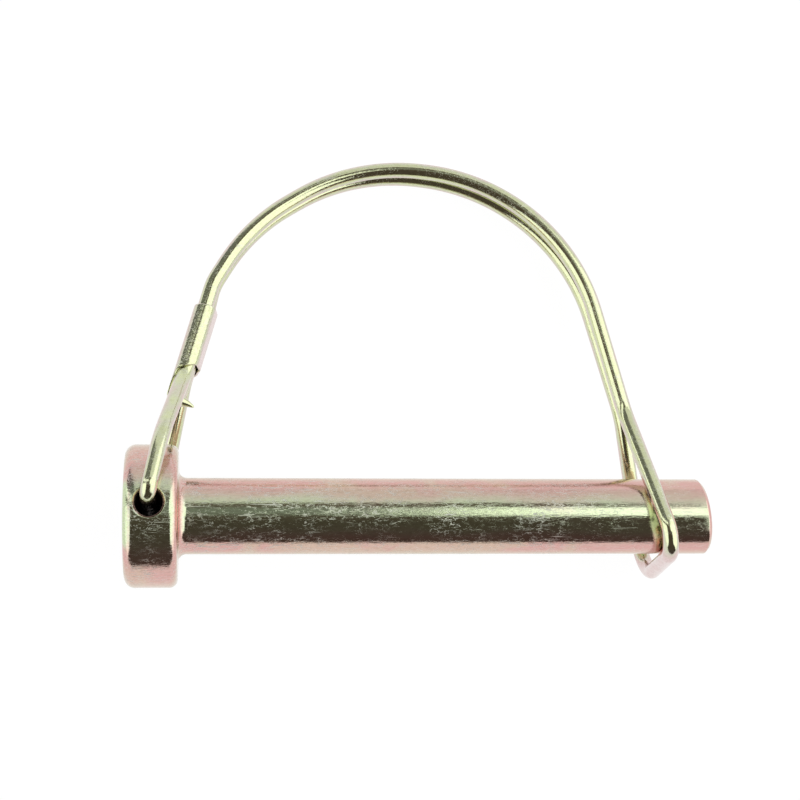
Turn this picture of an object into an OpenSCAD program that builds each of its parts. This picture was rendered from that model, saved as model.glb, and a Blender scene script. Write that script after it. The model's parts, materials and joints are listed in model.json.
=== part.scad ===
// Lynch pin: a headed cross-drilled pin, a sprung wire bail that swings in the
// cross hole, and the sleeve crimped over the bail's wires.
// The pin's axis is X. Zero is the middle of the bearing face under the head,
// the tip points along +X. The bail stands on the +Y side of the pin, and the
// whole thing leans about the pin's axis, as it lies on a table (+Z up).

/* [Pin] */
// Diameter of the shank
shank_d = 10; // [8:0.1:12]
// Length of the shank, from the bearing face to the middle of the tip
shank_len = 70; // [60:0.5:90]
// Diameter of the head
head_d = 18.7; // [16:0.1:22]
// Thickness of the head
head_t = 7.2; // [6:0.1:10]
// How far the head's end face domes outwards
face_dome = 0.4; // [0.1:0.05:0.8]
// Edge radius at the head's end face
face_edge_r = 1.6; // [0.8:0.1:2]
// Edge radius at the head's bearing face
bearing_edge_r = 1.1; // [0.5:0.1:1.5]
// Fillet between the shank and the head
root_fillet_r = 1.1; // [0.5:0.1:1.5]
// Angle by which the sawn tip is cut back on its upper side
tip_slant = 6; // [1:0.5:12]
// Chamfer round the tip
tip_chamfer = 0.6; // [0.3:0.1:1.5]
// Diameter of the cross hole through the head
hole_d = 3.6; // [3:0.1:4.5]
// Chamfer at the cross hole's two mouths
hole_chamfer = 0.3; // [0.1:0.05:0.6]

/* [Bail wire] */
// Diameter of the spring wire
wire_d = 2.1; // [1.8:0.1:2.5]
// Gap between the wire and the wall of the cross hole it is drawn against
hole_clearance = 0.08; // [0.04:0.01:0.1]
// Direction in which the wire is drawn against that wall, from upright towards the end face
hole_pull = 13; // [0:1:30]
// Gap between the head's rim and the wire where it turns into the hole
rim_clearance = 0.6; // [0.55:0.05:1]
// Gap between the head's rim and the knees of the two legs
knee_clearance = 1.9; // [1.2:0.1:3]
// Distance of the front leg's knee behind the bearing face
front_knee_back = 2.2; // [1:0.1:4]
// Distance of the back leg's knee behind the bearing face
back_knee_back = 1.7; // [1:0.1:4]
// Gap between the two strands where they lie side by side
strand_gap = 0.08; // [0.04:0.01:0.3]
// Distance of the arch's first shoulder from the bearing face
first_shoulder_x = 9; // [6:0.1:12]
// Height of the arch's first shoulder above the pin's axis
first_shoulder_y = 40.3; // [38:0.1:43]
// Distance of the arch's crown from the bearing face
crown_x = 23.7; // [20:0.1:28]
// Height of the arch's crown above the pin's axis
crown_y = 49.3; // [46:0.1:53]
// Further apart than side by side, each strand, at the crown
crown_splay = 0.26; // [0:0.02:0.8]
// Distance of the far shoulder back from the neck
far_shoulder_back = 8; // [5:0.1:11]
// Height of the far shoulder above the neck
far_shoulder_rise = 32.2; // [28:0.1:36]
// Further apart than side by side, each strand, at the far shoulder
far_splay = 0.81; // [0:0.02:1.2]
// Part of the room between the arch's corners that its rounding fills
arch_roundness = 0.98; // [0.7:0.01:0.99]
// Distance of the neck back from the pin's tip
neck_inset = 10.1; // [7:0.1:14]
// Height of the neck, where the strands part again, above the pin's axis
neck_y = 14.1; // [12:0.1:18]
// Gap between the shank and the strands that pass it
shank_clearance = 0.1; // [0.05:0.01:0.4]
// Distance of the loop's closed end back from the pin's tip
loop_inset = 5.6; // [3:0.1:9]
// Gap between the shank's underside and the loop's front corner, along the leaning bail
loop_drop_front = 2.95; // [2:0.05:5]
// The same at the loop's back corner
loop_drop_back = 1.85; // [1.5:0.05:5]

/* [Wire bends] */
// Bend radius at the cross hole, to the wire's middle
hole_bend_r = 1.6; // [1.3:0.1:1.6]
// Bend radius at the legs' knees
knee_bend_r = 15; // [8:0.5:20]
// Straight wire between the sleeve's top and the foot of the arch
foot_gap = 4.1; // [3:0.1:5]
// Bend radius where the legs leave the sleeve
leg_bend_r = 5; // [3:0.1:6]
// Bend radius at the neck and at the foot of the arch
neck_bend_r = 8; // [5:0.5:12]
// Bend radius at the loop's two corners
loop_bend_r = 3.3; // [2.2:0.1:3.8]

/* [Cut end of the wire] */
// Distance of the burr at the cut end below the sleeve's mouth
cut_drop = 4.2; // [3.8:0.1:6]
// Wire left below the burr
cut_tail = 0.7; // [0.5:0.05:1.2]
// How far the burr sticks out beside the sleeve's middle
cut_reach = 2.6; // [2.2:0.05:3.2]
// How far the cut strand leans out sideways between the mouth and its cut end
cut_kick = 0.65; // [0.2:0.05:0.8]
// Thickness of the burr at its edge
cut_edge = 0.3; // [0.1:0.05:0.6]
// Angle of the burr's two sloping faces
cut_angle = 12; // [8:1:16]
// Width of the burr, along its edge
burr_width = 1.3; // [0.8:0.1:1.6]

/* [Sleeve] */
// Thickness of the sleeve's sheet
sleeve_wall = 0.4; // [0.3:0.05:0.6]
// Gap between the sheet and the wires in it
sleeve_gap = 0.05; // [0.02:0.01:0.1]
// Distance of the sleeve's mouth from the bearing face
mouth_x = 0.6; // [0:0.1:2]
// Height of the sleeve's mouth above the pin's axis
mouth_y = 20; // [18:0.1:22]
// Angle between the sleeve and the bail's upright
sleeve_tilt = 18; // [14:0.5:22]
// Length of the sleeve above its mouth
sleeve_len = 8.3; // [7:0.1:9.5]
// Length of the lip below the mouth
lip_len = 4.5; // [3:0.1:5]
// Distance below the mouth at which the legs bend apart
leg_break = 1; // [0.6:0.1:2]
// Gap between the mouth and the bending legs
bell_gap = 0.1; // [0.06:0.01:0.2]
// Radius of the scoop that opens the mouth
scoop_r = 3.3; // [3:0.1:3.3]
// Distance of the scoop's middle to the right of the sleeve's middle
scoop_right = 2.25; // [2.25:0.05:2.8]
// Height of the scoop's top above the mouth
scoop_top = 0.3; // [0:0.05:1]
// Slope of the top rim's right half, where its corner was nipped
rim_slope = 25; // [10:1:35]
// Length over which the sleeve holds three wires, above its mouth
triple_len = 3.4; // [2.5:0.1:4.5]
// Sideways offset of the cut strand in the sleeve
middle_offset = 0.25; // [0.1:0.05:0.4]
// Sideways offset of the back leg in the sleeve
back_offset = -0.33; // [-0.6:0.01:0]

/* [Hidden] */
$fn = 96;
past = 1;       // what a cut runs past the material
flat_set = 0.03; // how far the sleeve's flats lie below its rounds
weld = 0.01;    // how much larger than the wire the balls are that join its straights and bends
slack = 0.02;   // what keeps two wires in the sleeve from touching

shank_r = shank_d / 2;
head_r = head_d / 2;
hole_r = hole_d / 2;
wire_r = wire_d / 2;
hole_x = -head_t / 2;

// ---- directions and places of the bail, in its own upright plane: X, Y, and Z to the front
pair_z = wire_r + strand_gap / 2;                // from the middle plane to a strand's middle
rest_in_hole = hole_r - wire_r - hole_clearance; // from the hole's middle to the wire's middle
wire_at_hole = [hole_x - rest_in_hole * sin(hole_pull), rest_in_hole * cos(hole_pull)];
hole_corner_z = head_r + rim_clearance + wire_r;
knee_reach = (head_r + knee_clearance + wire_r) * sqrt(1 / 2);

mouth = [mouth_x, mouth_y];
first_shoulder = [first_shoulder_x, first_shoulder_y];
crown = [crown_x, crown_y];
neck = [shank_len - neck_inset, neck_y];
far_shoulder = neck + [-far_shoulder_back, far_shoulder_rise];
loop_x = shank_len - loop_inset;
loop_front_y = -(shank_r + loop_drop_front + wire_r);
loop_back_y = -(shank_r + loop_drop_back + wire_r);

// The strands flare out below the neck, just enough to pass the shank.
neck_z = pair_z;
flare = asin((shank_r + shank_clearance + wire_r) / norm([neck_y, neck_z])) - atan(neck_z / neck_y);
function flared_z(y) = neck_z + (neck_y - y) * tan(flare);

// The sleeve's middle line runs from its mouth towards the foot of the arch.
sleeve_up = [sin(sleeve_tilt), cos(sleeve_tilt)];
sleeve_right = [cos(sleeve_tilt), -sin(sleeve_tilt)];
foot_rise = sleeve_len + foot_gap;
function by_sleeve(right, up, z) =
    let (p = mouth + right * sleeve_right + up * sleeve_up) [p.x, p.y, z];
function at(p, z) = [p.x, p.y, z];
function unit(v) = v / norm(v);

// The three wires in the sleeve, across it and to the front.
front_slot = [0, pair_z];
middle_slot = [middle_offset, -pair_z];
slot_pitch = 2 * (wire_r + sleeve_gap) + slack;   // from the middle strand to the back leg beside it
back_slot = [back_offset, -pair_z - sqrt(pow(slot_pitch, 2) - pow(middle_offset - back_offset, 2))];

// The arch's rounding fills what its three corners leave.
function turn(p) = [for (i = [1 : len(p) - 2])
    acos((p[i] - p[i - 1]) * (p[i + 1] - p[i]) / norm(p[i] - p[i - 1]) / norm(p[i + 1] - p[i]))];
foot_middle = mouth + foot_rise * sleeve_up;
arch_corners = [foot_middle, first_shoulder, crown, far_shoulder, neck];
arch_turn = turn(arch_corners);
arch_r = arch_roundness * min(
    norm(crown - first_shoulder) / (tan(arch_turn[0] / 2) + tan(arch_turn[1] / 2)),
    norm(far_shoulder - crown) / (tan(arch_turn[1] / 2) + tan(arch_turn[2] / 2)));

// ---- the wire's path: [place, bend radius] at each corner, from the cut end to the buried end
function arch_strand(side) = [
    [at(first_shoulder, side * pair_z), arch_r],
    [at(crown, side * (pair_z + crown_splay)), arch_r],
    [at(far_shoulder, side * (pair_z + far_splay)), arch_r],
    [at(neck, side * neck_z), neck_bend_r]];
function flip(list) = [for (i = [len(list) - 1 : -1 : 0]) list[i]];

cut_end = [
    [by_sleeve(middle_offset + cut_kick, -cut_drop - cut_tail, middle_slot.y), 0],
    [by_sleeve(middle_offset, 0, middle_slot.y), leg_bend_r],
    [by_sleeve(middle_offset, sleeve_len, middle_slot.y), leg_bend_r],
    [by_sleeve(0, foot_rise, middle_slot.y), neck_bend_r]];
loop = [
    [[loop_x, loop_back_y, -flared_z(loop_back_y)], loop_bend_r],
    [[loop_x, loop_front_y, flared_z(loop_front_y)], loop_bend_r]];
front_leg = [
    [by_sleeve(0, foot_rise, front_slot.y), neck_bend_r],
    [by_sleeve(0, -leg_break, front_slot.y), leg_bend_r],
    [[-front_knee_back, knee_reach, knee_reach], knee_bend_r],
    [at(wire_at_hole, hole_corner_z), hole_bend_r]];
back_leg = [
    [at(wire_at_hole, -hole_corner_z), hole_bend_r],
    [[-back_knee_back, knee_reach, -knee_reach], knee_bend_r],
    [by_sleeve(back_slot.x, -leg_break, back_slot.y), leg_bend_r],
    [by_sleeve(back_slot.x, triple_len - wire_r, back_slot.y), 0]];
bail_path = concat(cut_end, arch_strand(-1), loop, flip(arch_strand(1)), front_leg, back_leg);

// ---- how it lies: the wire touches the table at the back knee, the arch and the loop
function low_point(before, corner, after) =      // lowest middle of a bend, seen along Z
    let (a = unit(corner[0] - before[0]), b = unit(after[0] - corner[0]), normal = unit(cross(a, b)))
    let (centre = corner[0] + unit(b - a) * corner[1] / cos(acos(a * b) / 2), down = [0, 0, -1])
    centre + corner[1] * unit(down - (down * normal) * normal);
touch_leg = low_point(front_leg[3], back_leg[0], back_leg[1]);
touch_loop = low_point(arch_strand(-1)[3], loop[0], loop[1]);
along_span = arch_r * tan(arch_turn[1] / 2) / norm(far_shoulder - crown);
touch_arch = at(crown + along_span * (far_shoulder - crown),
    -(pair_z + crown_splay + along_span * (far_splay - crown_splay)));
table_normal = cross(touch_loop - touch_leg, touch_arch - touch_leg);
lean = -atan(table_normal.y / table_normal.z);

// ---- the wire
module rod(from, to, d) {
    run = to - from;
    translate(from)
        rotate([0, acos(run.z / norm(run)), atan2(run.y, run.x)])
            cylinder(d = d, h = norm(run));
}

module elbow(corner, into, out, r, d) {
    normal = unit(cross(into, out));
    inward = cross(normal, into);
    angle = acos(into * out);
    centre = corner - into * r * tan(angle / 2) + inward * r;
    multmatrix([
        [-inward.x, into.x, normal.x, centre.x],
        [-inward.y, into.y, normal.y, centre.y],
        [-inward.z, into.z, normal.z, centre.z],
        [0, 0, 0, 1]])
        rotate_extrude(angle = angle) translate([r, 0]) circle(d = d);
}

// A round wire through the corners of a path, with its bend radius at each corner.
module bent_wire(path, d) {
    last = len(path) - 1;
    heading = [for (i = [0 : last - 1]) unit(path[i + 1][0] - path[i][0])];
    trim = [for (i = [0 : last])
        i == 0 || i == last ? 0 : path[i][1] * tan(acos(heading[i - 1] * heading[i]) / 2)];
    for (i = [0 : last - 1])
        rod(path[i][0] + trim[i] * heading[i], path[i + 1][0] - trim[i + 1] * heading[i], d);
    for (i = [1 : last - 1]) {
        elbow(path[i][0], heading[i - 1], heading[i], path[i][1], d);
        for (end = [-heading[i - 1], heading[i]])
            translate(path[i][0] + trim[i] * end) sphere(d = d + 2 * weld);
    }
}

// Moves children from the sleeve's own frame: X across, Y to the back, Z up the sleeve.
module on_sleeve() {
    translate(at(mouth, 0)) rotate([0, 0, -sleeve_tilt]) rotate([-90, 0, 0]) children();
}

module leaning() {
    rotate([-lean, 0, 0]) children();
}

// ---- sub-parts
// Half the pin's outline, with its axis along Y: head, root fillet and shank.
module pin_outline() {
    face_r = head_r - face_edge_r;
    bearing_r = head_r - bearing_edge_r;
    dome_r = (pow(head_r, 2) + pow(face_dome, 2)) / (2 * face_dome);
    square([shank_r, shank_len + shank_r]);
    difference() {
        square([shank_r + root_fillet_r, root_fillet_r]);
        translate([shank_r + root_fillet_r, root_fillet_r]) circle(r = root_fillet_r);
    }
    intersection() {
        union() {
            translate([0, -head_t]) square([face_r, head_t]);
            translate([0, -head_t + face_edge_r]) square([bearing_r, head_t - face_edge_r]);
            translate([0, -head_t + face_edge_r]) square([head_r, head_t - face_edge_r - bearing_edge_r]);
            translate([face_r, -head_t + face_edge_r]) circle(r = face_edge_r);
            translate([bearing_r, -bearing_edge_r]) circle(r = bearing_edge_r);
        }
        translate([0, dome_r - head_t]) circle(r = dome_r, $fn = 360);
    }
}

// The slanting end of the shank with its chamfer, as a cone that opens towards the head.
module tip_cone() {
    cone_len = shank_len + shank_r + head_t;
    end_r = shank_r - tip_chamfer;
    translate([shank_len, 0, 0]) rotate([0, 0, tip_slant]) rotate([0, -90, 0])
        cylinder(r1 = end_r, r2 = end_r + cone_len, h = cone_len);
}

module cross_hole() {
    translate([hole_x, 0, 0]) {
        cylinder(d = hole_d, h = head_d + 2 * past, center = true);
        for (side = [0, 1])
            mirror([0, 0, side]) translate([0, 0, head_r - hole_chamfer])
                cylinder(r1 = hole_r, r2 = hole_r + hole_chamfer + past, h = hole_chamfer + past);
    }
}

module headed_pin() {
    color("darkkhaki") leaning() difference() {
        intersection() {
            rotate([0, 90, 0]) rotate_extrude() pin_outline();
            tip_cone();
        }
        cross_hole();
    }
}

// The burr that the cutter pushed out sideways at the wire's cut end.
module cut_burr() {
    reach = cut_reach - middle_offset;
    root = cut_edge + 2 * reach * tan(cut_angle);
    translate([middle_offset, -middle_slot.y, -cut_drop]) rotate([90, 0, 0])
        linear_extrude(height = burr_width, center = true)
            polygon([[0, root / 2], [reach, cut_edge / 2], [reach, -cut_edge / 2], [0, -root / 2]]);
}

module wire_bail() {
    color("palegoldenrod") leaning() {
        bent_wire(bail_path, wire_d);
        on_sleeve() cut_burr();
    }
}

// The sleeve's section: round each wire, with nearly flush flat sheet from one to the next.
function back_of(slot) = [slot.x, -slot.y];
module round_wires(slots, r) {
    for (slot = slots) translate(back_of(slot)) circle(r = r);
    for (i = [1 : len(slots) - 1]) {
        from = back_of(slots[i - 1]);
        to = back_of(slots[i]);
        translate(from) rotate(atan2(to.y - from.y, to.x - from.x))
            translate([0, -r + flat_set]) square([norm(to - from), 2 * (r - flat_set)]);
    }
}
module sleeve_length(slots, r, from, to) {
    translate([0, 0, from]) linear_extrude(height = to - from) round_wires(slots, r);
}

// Above the three wires the sleeve's back slopes in to the two that go on.
module slope_behind(r) {
    middle = back_of(middle_slot);
    back = back_of(back_slot);
    depth = norm(back - middle);
    translate([middle.x, middle.y, 0]) rotate(atan2(back.y - middle.y, back.x - middle.x))
        rotate([90, 0, 0]) linear_extrude(height = 4 * r, center = true)
            polygon([[depth + r, triple_len], [r - weld, sleeve_len], [r - weld, sleeve_len + past],
                [depth + r + past, sleeve_len + past], [depth + r + past, triple_len]]);
}

module scoop() {
    translate([scoop_right, 0, scoop_top - scoop_r]) rotate([90, 0, 0])
        cylinder(r = scoop_r, h = 2 * slot_pitch + 4 * wire_d, center = true);
}

// Right of the middle the top rim slopes down.
module rim_corner(r) {
    reach = r + past;
    translate([flat_set, 0, sleeve_len]) rotate([90, 0, 0])
        linear_extrude(height = 2 * slot_pitch + 4 * wire_d, center = true)
            polygon([[-past / tan(rim_slope), past], [reach, past], [reach, -reach * tan(rim_slope)]]);
}

// The way of a leg through the mouth, a little wider than the wire.
module leg_way(slot, knee) {
    bent_wire([
        [by_sleeve(slot.x, leg_break, slot.y), 0],
        [by_sleeve(slot.x, -leg_break, slot.y), leg_bend_r],
        [knee, 0]], wire_d + 2 * bell_gap);
}

module ferrule() {
    inner_r = wire_r + sleeve_gap;
    outer_r = inner_r + sleeve_wall;
    two = [front_slot, middle_slot];
    three = [front_slot, middle_slot, back_slot];
    color("khaki") leaning() difference() {
        on_sleeve() difference() {
            sleeve_length(three, outer_r, -lip_len, sleeve_len);
            slope_behind(outer_r);
            sleeve_length(two, inner_r, -lip_len - past, sleeve_len + past);
            sleeve_length(three, inner_r, -lip_len - past, triple_len);
            scoop();
            rim_corner(outer_r);
        }
        leg_way(front_slot, front_leg[2][0]);
        leg_way(back_slot, back_leg[1][0]);
    }
}

headed_pin();
wire_bail();
ferrule();
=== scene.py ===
# %% [markdown]
# # A lynch pin in yellow zinc plating
# A lynch pin is a headed steel pin with a sprung wire bail. The bail swings in a cross hole
# through the head and snaps round the shank, so that the pin can't slip out of its hole.
# The exact solids come from the CAD model. They could be shown as they are, but facets and
# hard edges show on polished metal. So each piece gets a finer surface, worked out with
# numpy, and an iridescent zinc finish built from shader nodes.

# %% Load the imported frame
import json

import bmesh
import bpy
import numpy as np
from mathutils import Matrix


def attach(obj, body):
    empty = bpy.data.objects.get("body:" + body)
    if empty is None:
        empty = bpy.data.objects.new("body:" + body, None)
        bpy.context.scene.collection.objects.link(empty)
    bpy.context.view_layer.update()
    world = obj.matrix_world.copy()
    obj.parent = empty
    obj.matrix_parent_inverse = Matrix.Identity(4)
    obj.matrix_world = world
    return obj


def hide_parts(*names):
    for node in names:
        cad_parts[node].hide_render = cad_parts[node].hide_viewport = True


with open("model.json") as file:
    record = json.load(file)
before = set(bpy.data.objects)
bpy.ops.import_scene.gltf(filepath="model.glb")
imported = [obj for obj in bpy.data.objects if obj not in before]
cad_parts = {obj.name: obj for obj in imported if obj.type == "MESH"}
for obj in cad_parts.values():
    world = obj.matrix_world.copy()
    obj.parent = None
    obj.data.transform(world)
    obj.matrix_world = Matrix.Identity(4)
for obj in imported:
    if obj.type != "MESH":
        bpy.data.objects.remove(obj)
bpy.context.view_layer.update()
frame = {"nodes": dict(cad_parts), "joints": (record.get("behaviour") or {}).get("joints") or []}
hinge = frame["joints"][0]
print("CAD nodes:", sorted(frame["nodes"]), "hinge axis:", hinge["axis"])

# %% [markdown]
# ## Units and the lean
# The drawing of the bail is upright: X along the pin, Y up the bail, Z to its front.
# On the table the whole thing leans about the pin's axis. Each object could be turned by
# that lean, but a finished piece keeps its place in its mesh. So the points are turned
# instead, by a small function. The hinge lies along the cross hole, and its axis gives the lean.

# %% From the upright drawing to the table
MM = 0.001
LEAN = np.arctan2(hinge["axis"][1], hinge["axis"][2])


def unit(v):
    """A vector divided by its length, along the last axis."""
    v = np.asarray(v, float)
    return v / np.linalg.norm(v, axis=-1, keepdims=True)


def lean(points):
    """Turns upright points about X: y = y cos + z sin, z = -y sin + z cos."""
    x, y, z = np.moveaxis(np.asarray(points, float), -1, 0)
    c, s = np.cos(LEAN), np.sin(LEAN)
    return np.stack([x, y * c + z * s, -y * s + z * c], -1)


print(f"lean {np.degrees(LEAN):.2f} degrees")

# %% [markdown]
# ## The camera
# A product camera hangs almost straight above the table, a little on the side of the bail's
# foot, and looks through a long lens, so that near and far wire come out equally thick. It
# could aim at an empty object, but a place and a turn give the view exactly. Both are
# written in the upright drawing, and lean with it.

# %% Camera
CAMERA_AT = np.array([3.85, -47.23, 234.72])
CAMERA_TURN = np.array([-0.2622, -0.1053, -0.0062])
FOCAL_PIXELS, IMAGE_PIXELS, SENSOR_MM = 1815.37, 800, 36.0
NEAR_M, FAR_M = 0.01, 10.0


def turned(rotation_vector):
    """Matrix of a turn about k by its length: 1 + sin K + (1 - cos) K K, where K v = k cross v."""
    angle = np.linalg.norm(rotation_vector)
    kx, ky, kz = rotation_vector / angle
    k = np.array([[0, -kz, ky], [kz, 0, -kx], [-ky, kx, 0]])
    return np.eye(3) + np.sin(angle) * k + (1 - np.cos(angle)) * k @ k


# Before the turn, right is X, down is -Y, and ahead is -Z.
right, down, ahead = lean(turned(CAMERA_TURN) @ np.diag([1.0, -1.0, -1.0]))
camera = bpy.data.objects.new("camera", bpy.data.cameras.new("camera"))
bpy.context.scene.collection.objects.link(camera)
camera.data.sensor_width = SENSOR_MM
camera.data.lens = FOCAL_PIXELS / IMAGE_PIXELS * SENSOR_MM
camera.data.clip_start, camera.data.clip_end = NEAR_M, FAR_M
camera_place = np.eye(4)
camera_place[:3, :3] = np.stack([right, -down, -ahead], axis=1)
camera_place[:3, 3] = lean(CAMERA_AT) * MM
camera.matrix_world = Matrix(camera_place.tolist())
bpy.context.scene.camera = camera
print("camera at", np.round(camera_place[:3, 3], 4), "lens", round(camera.data.lens, 1), "mm")

# %% [markdown]
# ## From arrays to a mesh
# Every surface below is a grid of points, a function of two parameters. Blender's own
# primitives and modifiers could give some of them, but a grid puts each ring just where
# the form needs it. One helper turns any number of grids into one mesh, and welds the
# edges that they share.

# %% Grids to a mesh
WELD = 0.0005 * MM


def quads(rows, columns, wrap=False):
    """Vertex numbers of a grid's cells, row by row; wrap joins the last column to the first."""
    last = columns if wrap else columns - 1
    r, c = np.meshgrid(np.arange(rows - 1), np.arange(last), indexing="ij")
    near, far = r * columns + c, r * columns + (c + 1) % columns
    return np.stack([near, far, far + columns, near + columns], -1).reshape(-1, 4)


def build(name, grids):
    """Makes a smooth mesh object from a list of (points in mm, faces); shared edges are welded."""
    points, faces, start = [], [], 0
    for grid_points, grid_faces in grids:
        flat = np.asarray(grid_points, float).reshape(-1, 3)
        points.append(flat)
        faces += (np.asarray(grid_faces) + start).tolist()
        start += len(flat)
    mesh = bpy.data.meshes.new(name)
    mesh.from_pydata((np.concatenate(points) * MM).tolist(), [], faces)
    work = bmesh.new()
    work.from_mesh(mesh)
    bmesh.ops.remove_doubles(work, verts=work.verts, dist=WELD)
    bmesh.ops.recalc_face_normals(work, faces=work.faces)
    work.to_mesh(mesh)
    work.free()
    mesh.polygons.foreach_set("use_smooth", [True] * len(mesh.polygons))
    mesh.update()
    thing = bpy.data.objects.new(name, mesh)
    bpy.context.scene.collection.objects.link(thing)
    print(f"{name}: {len(mesh.vertices)} points, {len(mesh.polygons)} faces")
    return thing


def length_along(points):
    """Length run at each point of a line, from 0 at its start."""
    return np.concatenate([[0], np.cumsum(np.linalg.norm(np.diff(points, axis=0), axis=1))])


def share(value, start, width):
    """How far a value has gone from start over a width: 0 before it, 1 past it, even between."""
    return np.clip((value - start) / width, 0, 1)


print("points are welded within", WELD / MM, "mm")

# %% [markdown]
# ## The bail's path
# The bail is one wire, bent double. It could be drawn as a free curve, but a wire bender
# only makes straights and arcs, and the eye sees that in the highlights. So its path is a
# list of corners, each with a bend radius, as on a bender's sheet: up from the cut end
# through the sleeve, over the arch, round the loop that clasps the shank, back over the
# arch, down through the sleeve, through the cross hole in the head, and up to the end that
# is buried in the sleeve.

# %% Pin sizes, and the wires in the sleeve
WIRE_R, SHANK_R, SHANK_LEN = 1.05, 5.0, 70.0
HEAD_R, HEAD_T, HOLE_R = 9.35, 7.2, 1.8
HOLE_X = -HEAD_T / 2
STRAND_GAP, SLEEVE_GAP, SLACK = 0.08, 0.05, 0.02
PAIR_Z = WIRE_R + STRAND_GAP / 2
MOUTH, TILT = np.array([0.9, 20.0]), np.radians(16.0)
SLEEVE_UP = np.array([np.sin(TILT), np.cos(TILT)])
SLEEVE_RIGHT = np.array([np.cos(TILT), -np.sin(TILT)])
SLEEVE_LEN, TRIPLE_LEN, FOOT_RISE = 8.3, 3.4, 12.4
# Across the sleeve and to its front: the front strand, the cut strand, and the back leg
# that nests behind the two, one pitch away and a sidestep to the left of the cut strand.
PITCH, SIDESTEP = 2 * (WIRE_R + SLEEVE_GAP) + SLACK, 0.58
FRONT, MIDDLE = np.array([0.0, PAIR_Z]), np.array([0.25, -PAIR_Z])
BACK = np.array([-0.10, -PAIR_Z - np.sqrt(PITCH**2 - SIDESTEP**2)])


def by_sleeve(across, up, z):
    """A place given across and up the sleeve, from its mouth."""
    x, y = MOUTH + across * SLEEVE_RIGHT + up * SLEEVE_UP
    return [x, y, z]


print(f"sleeve leans {np.degrees(TILT):.0f} degrees, its wires lie {PITCH:.2f} mm apart")

# %% Arch, loop and cross hole
FIRST_SHOULDER, CROWN = np.array([9.25, 40.2]), np.array([23.7, 49.3])
NECK = np.array([SHANK_LEN - 10.1, 14.1])
FAR_SHOULDER = NECK + [-8.0, 32.2]
CROWN_SPLAY, FAR_SPLAY, ARCH_FILL = 0.26, 0.81, 0.98
LOOP_X = SHANK_LEN - 6.0
LOOP_FRONT, LOOP_BACK = np.array([LOOP_X, -5.9, 8.88]), np.array([LOOP_X, -6.8, -9.65])
HOLE_PLAY, PULL = 0.08, np.radians(13.0)
REST_IN_HOLE = HOLE_R - WIRE_R - HOLE_PLAY
AT_HOLE = [HOLE_X - REST_IN_HOLE * np.sin(PULL), REST_IN_HOLE * np.cos(PULL)]
RIM_CLEARANCE, KNEE_CLEARANCE = 0.63, 1.9
HOLE_CORNER_Z = HEAD_R + RIM_CLEARANCE + WIRE_R
KNEE = (HEAD_R + KNEE_CLEARANCE + WIRE_R) * np.sqrt(0.5)
FRONT_KNEE_X, BACK_KNEE_X = -2.2, -1.7


def turn_angle(a, b, c):
    """The angle by which a path turns at b."""
    return np.arccos(np.sum(unit(b - a) * unit(c - b)))


# One radius for the arch's three corners: almost the largest whose bends fit between them.
foot = MOUTH + FOOT_RISE * SLEEVE_UP
half = [np.tan(turn_angle(*corners) / 2) for corners in
        ((foot, FIRST_SHOULDER, CROWN), (FIRST_SHOULDER, CROWN, FAR_SHOULDER),
         (CROWN, FAR_SHOULDER, NECK))]
ARCH_R = ARCH_FILL * min(np.linalg.norm(CROWN - FIRST_SHOULDER) / (half[0] + half[1]),
                         np.linalg.norm(FAR_SHOULDER - CROWN) / (half[1] + half[2]))
print(f"arch radius {ARCH_R:.2f} mm")

# %% The bender's sheet: corners with their bend radii
LEG_BEND, NECK_BEND, LOOP_BEND, KNEE_BEND, HOLE_BEND = 5.0, 8.0, 3.3, 15.0, 1.6
LEG_BREAK, CUT_END, CUT_LEAN = 1.0, (-0.2, -4.9), 0.05


def arch_strand(side):
    """The corners of one strand of the arch, from the first shoulder to the neck."""
    return [([*FIRST_SHOULDER, side * PAIR_Z], ARCH_R),
            ([*CROWN, side * (PAIR_Z + CROWN_SPLAY)], ARCH_R),
            ([*FAR_SHOULDER, side * (PAIR_Z + FAR_SPLAY)], ARCH_R),
            ([*NECK, side * PAIR_Z], NECK_BEND)]


BAIL_PATH = [
    (by_sleeve(*CUT_END, MIDDLE[1]), 0),
    (by_sleeve(CUT_LEAN, 0, MIDDLE[1]), LEG_BEND),
    (by_sleeve(MIDDLE[0], SLEEVE_LEN, MIDDLE[1]), LEG_BEND),
    (by_sleeve(0, FOOT_RISE, MIDDLE[1]), NECK_BEND),
    *arch_strand(-1),
    (LOOP_BACK, LOOP_BEND),
    (LOOP_FRONT, LOOP_BEND),
    *arch_strand(1)[::-1],
    (by_sleeve(0, FOOT_RISE, FRONT[1]), NECK_BEND),
    (by_sleeve(0, -LEG_BREAK, FRONT[1]), LEG_BEND),
    ([FRONT_KNEE_X, KNEE, KNEE], KNEE_BEND),
    ([*AT_HOLE, HOLE_CORNER_Z], HOLE_BEND),
    ([*AT_HOLE, -HOLE_CORNER_Z], HOLE_BEND),
    ([BACK_KNEE_X, KNEE, -KNEE], KNEE_BEND),
    (by_sleeve(BACK[0], -LEG_BREAK, BACK[1]), LEG_BEND),
    (by_sleeve(BACK[0], TRIPLE_LEN - WIRE_R, BACK[1]), 0)]
print(len(BAIL_PATH), "corners")

# %% [markdown]
# ## From corners to a smooth line
# Between two bends the wire runs straight, and each bend is an arc of a circle. A curve
# object could round the corners, but its rings twist where the path leaves a plane. Here a
# direction across the wire is carried along. On a straight it stays as it is, and on an
# arc it turns about the arc's own axis, so the wire never twists.


# %% The wire's middle line
def turned_about(axis, v, angle):
    """v turned about an axis: its part along it stays, the rest goes round by cos and sin."""
    along = axis * (axis @ v)
    return along + np.cos(angle) * (v - along) + np.sin(angle) * np.cross(axis, v - along)


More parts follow.
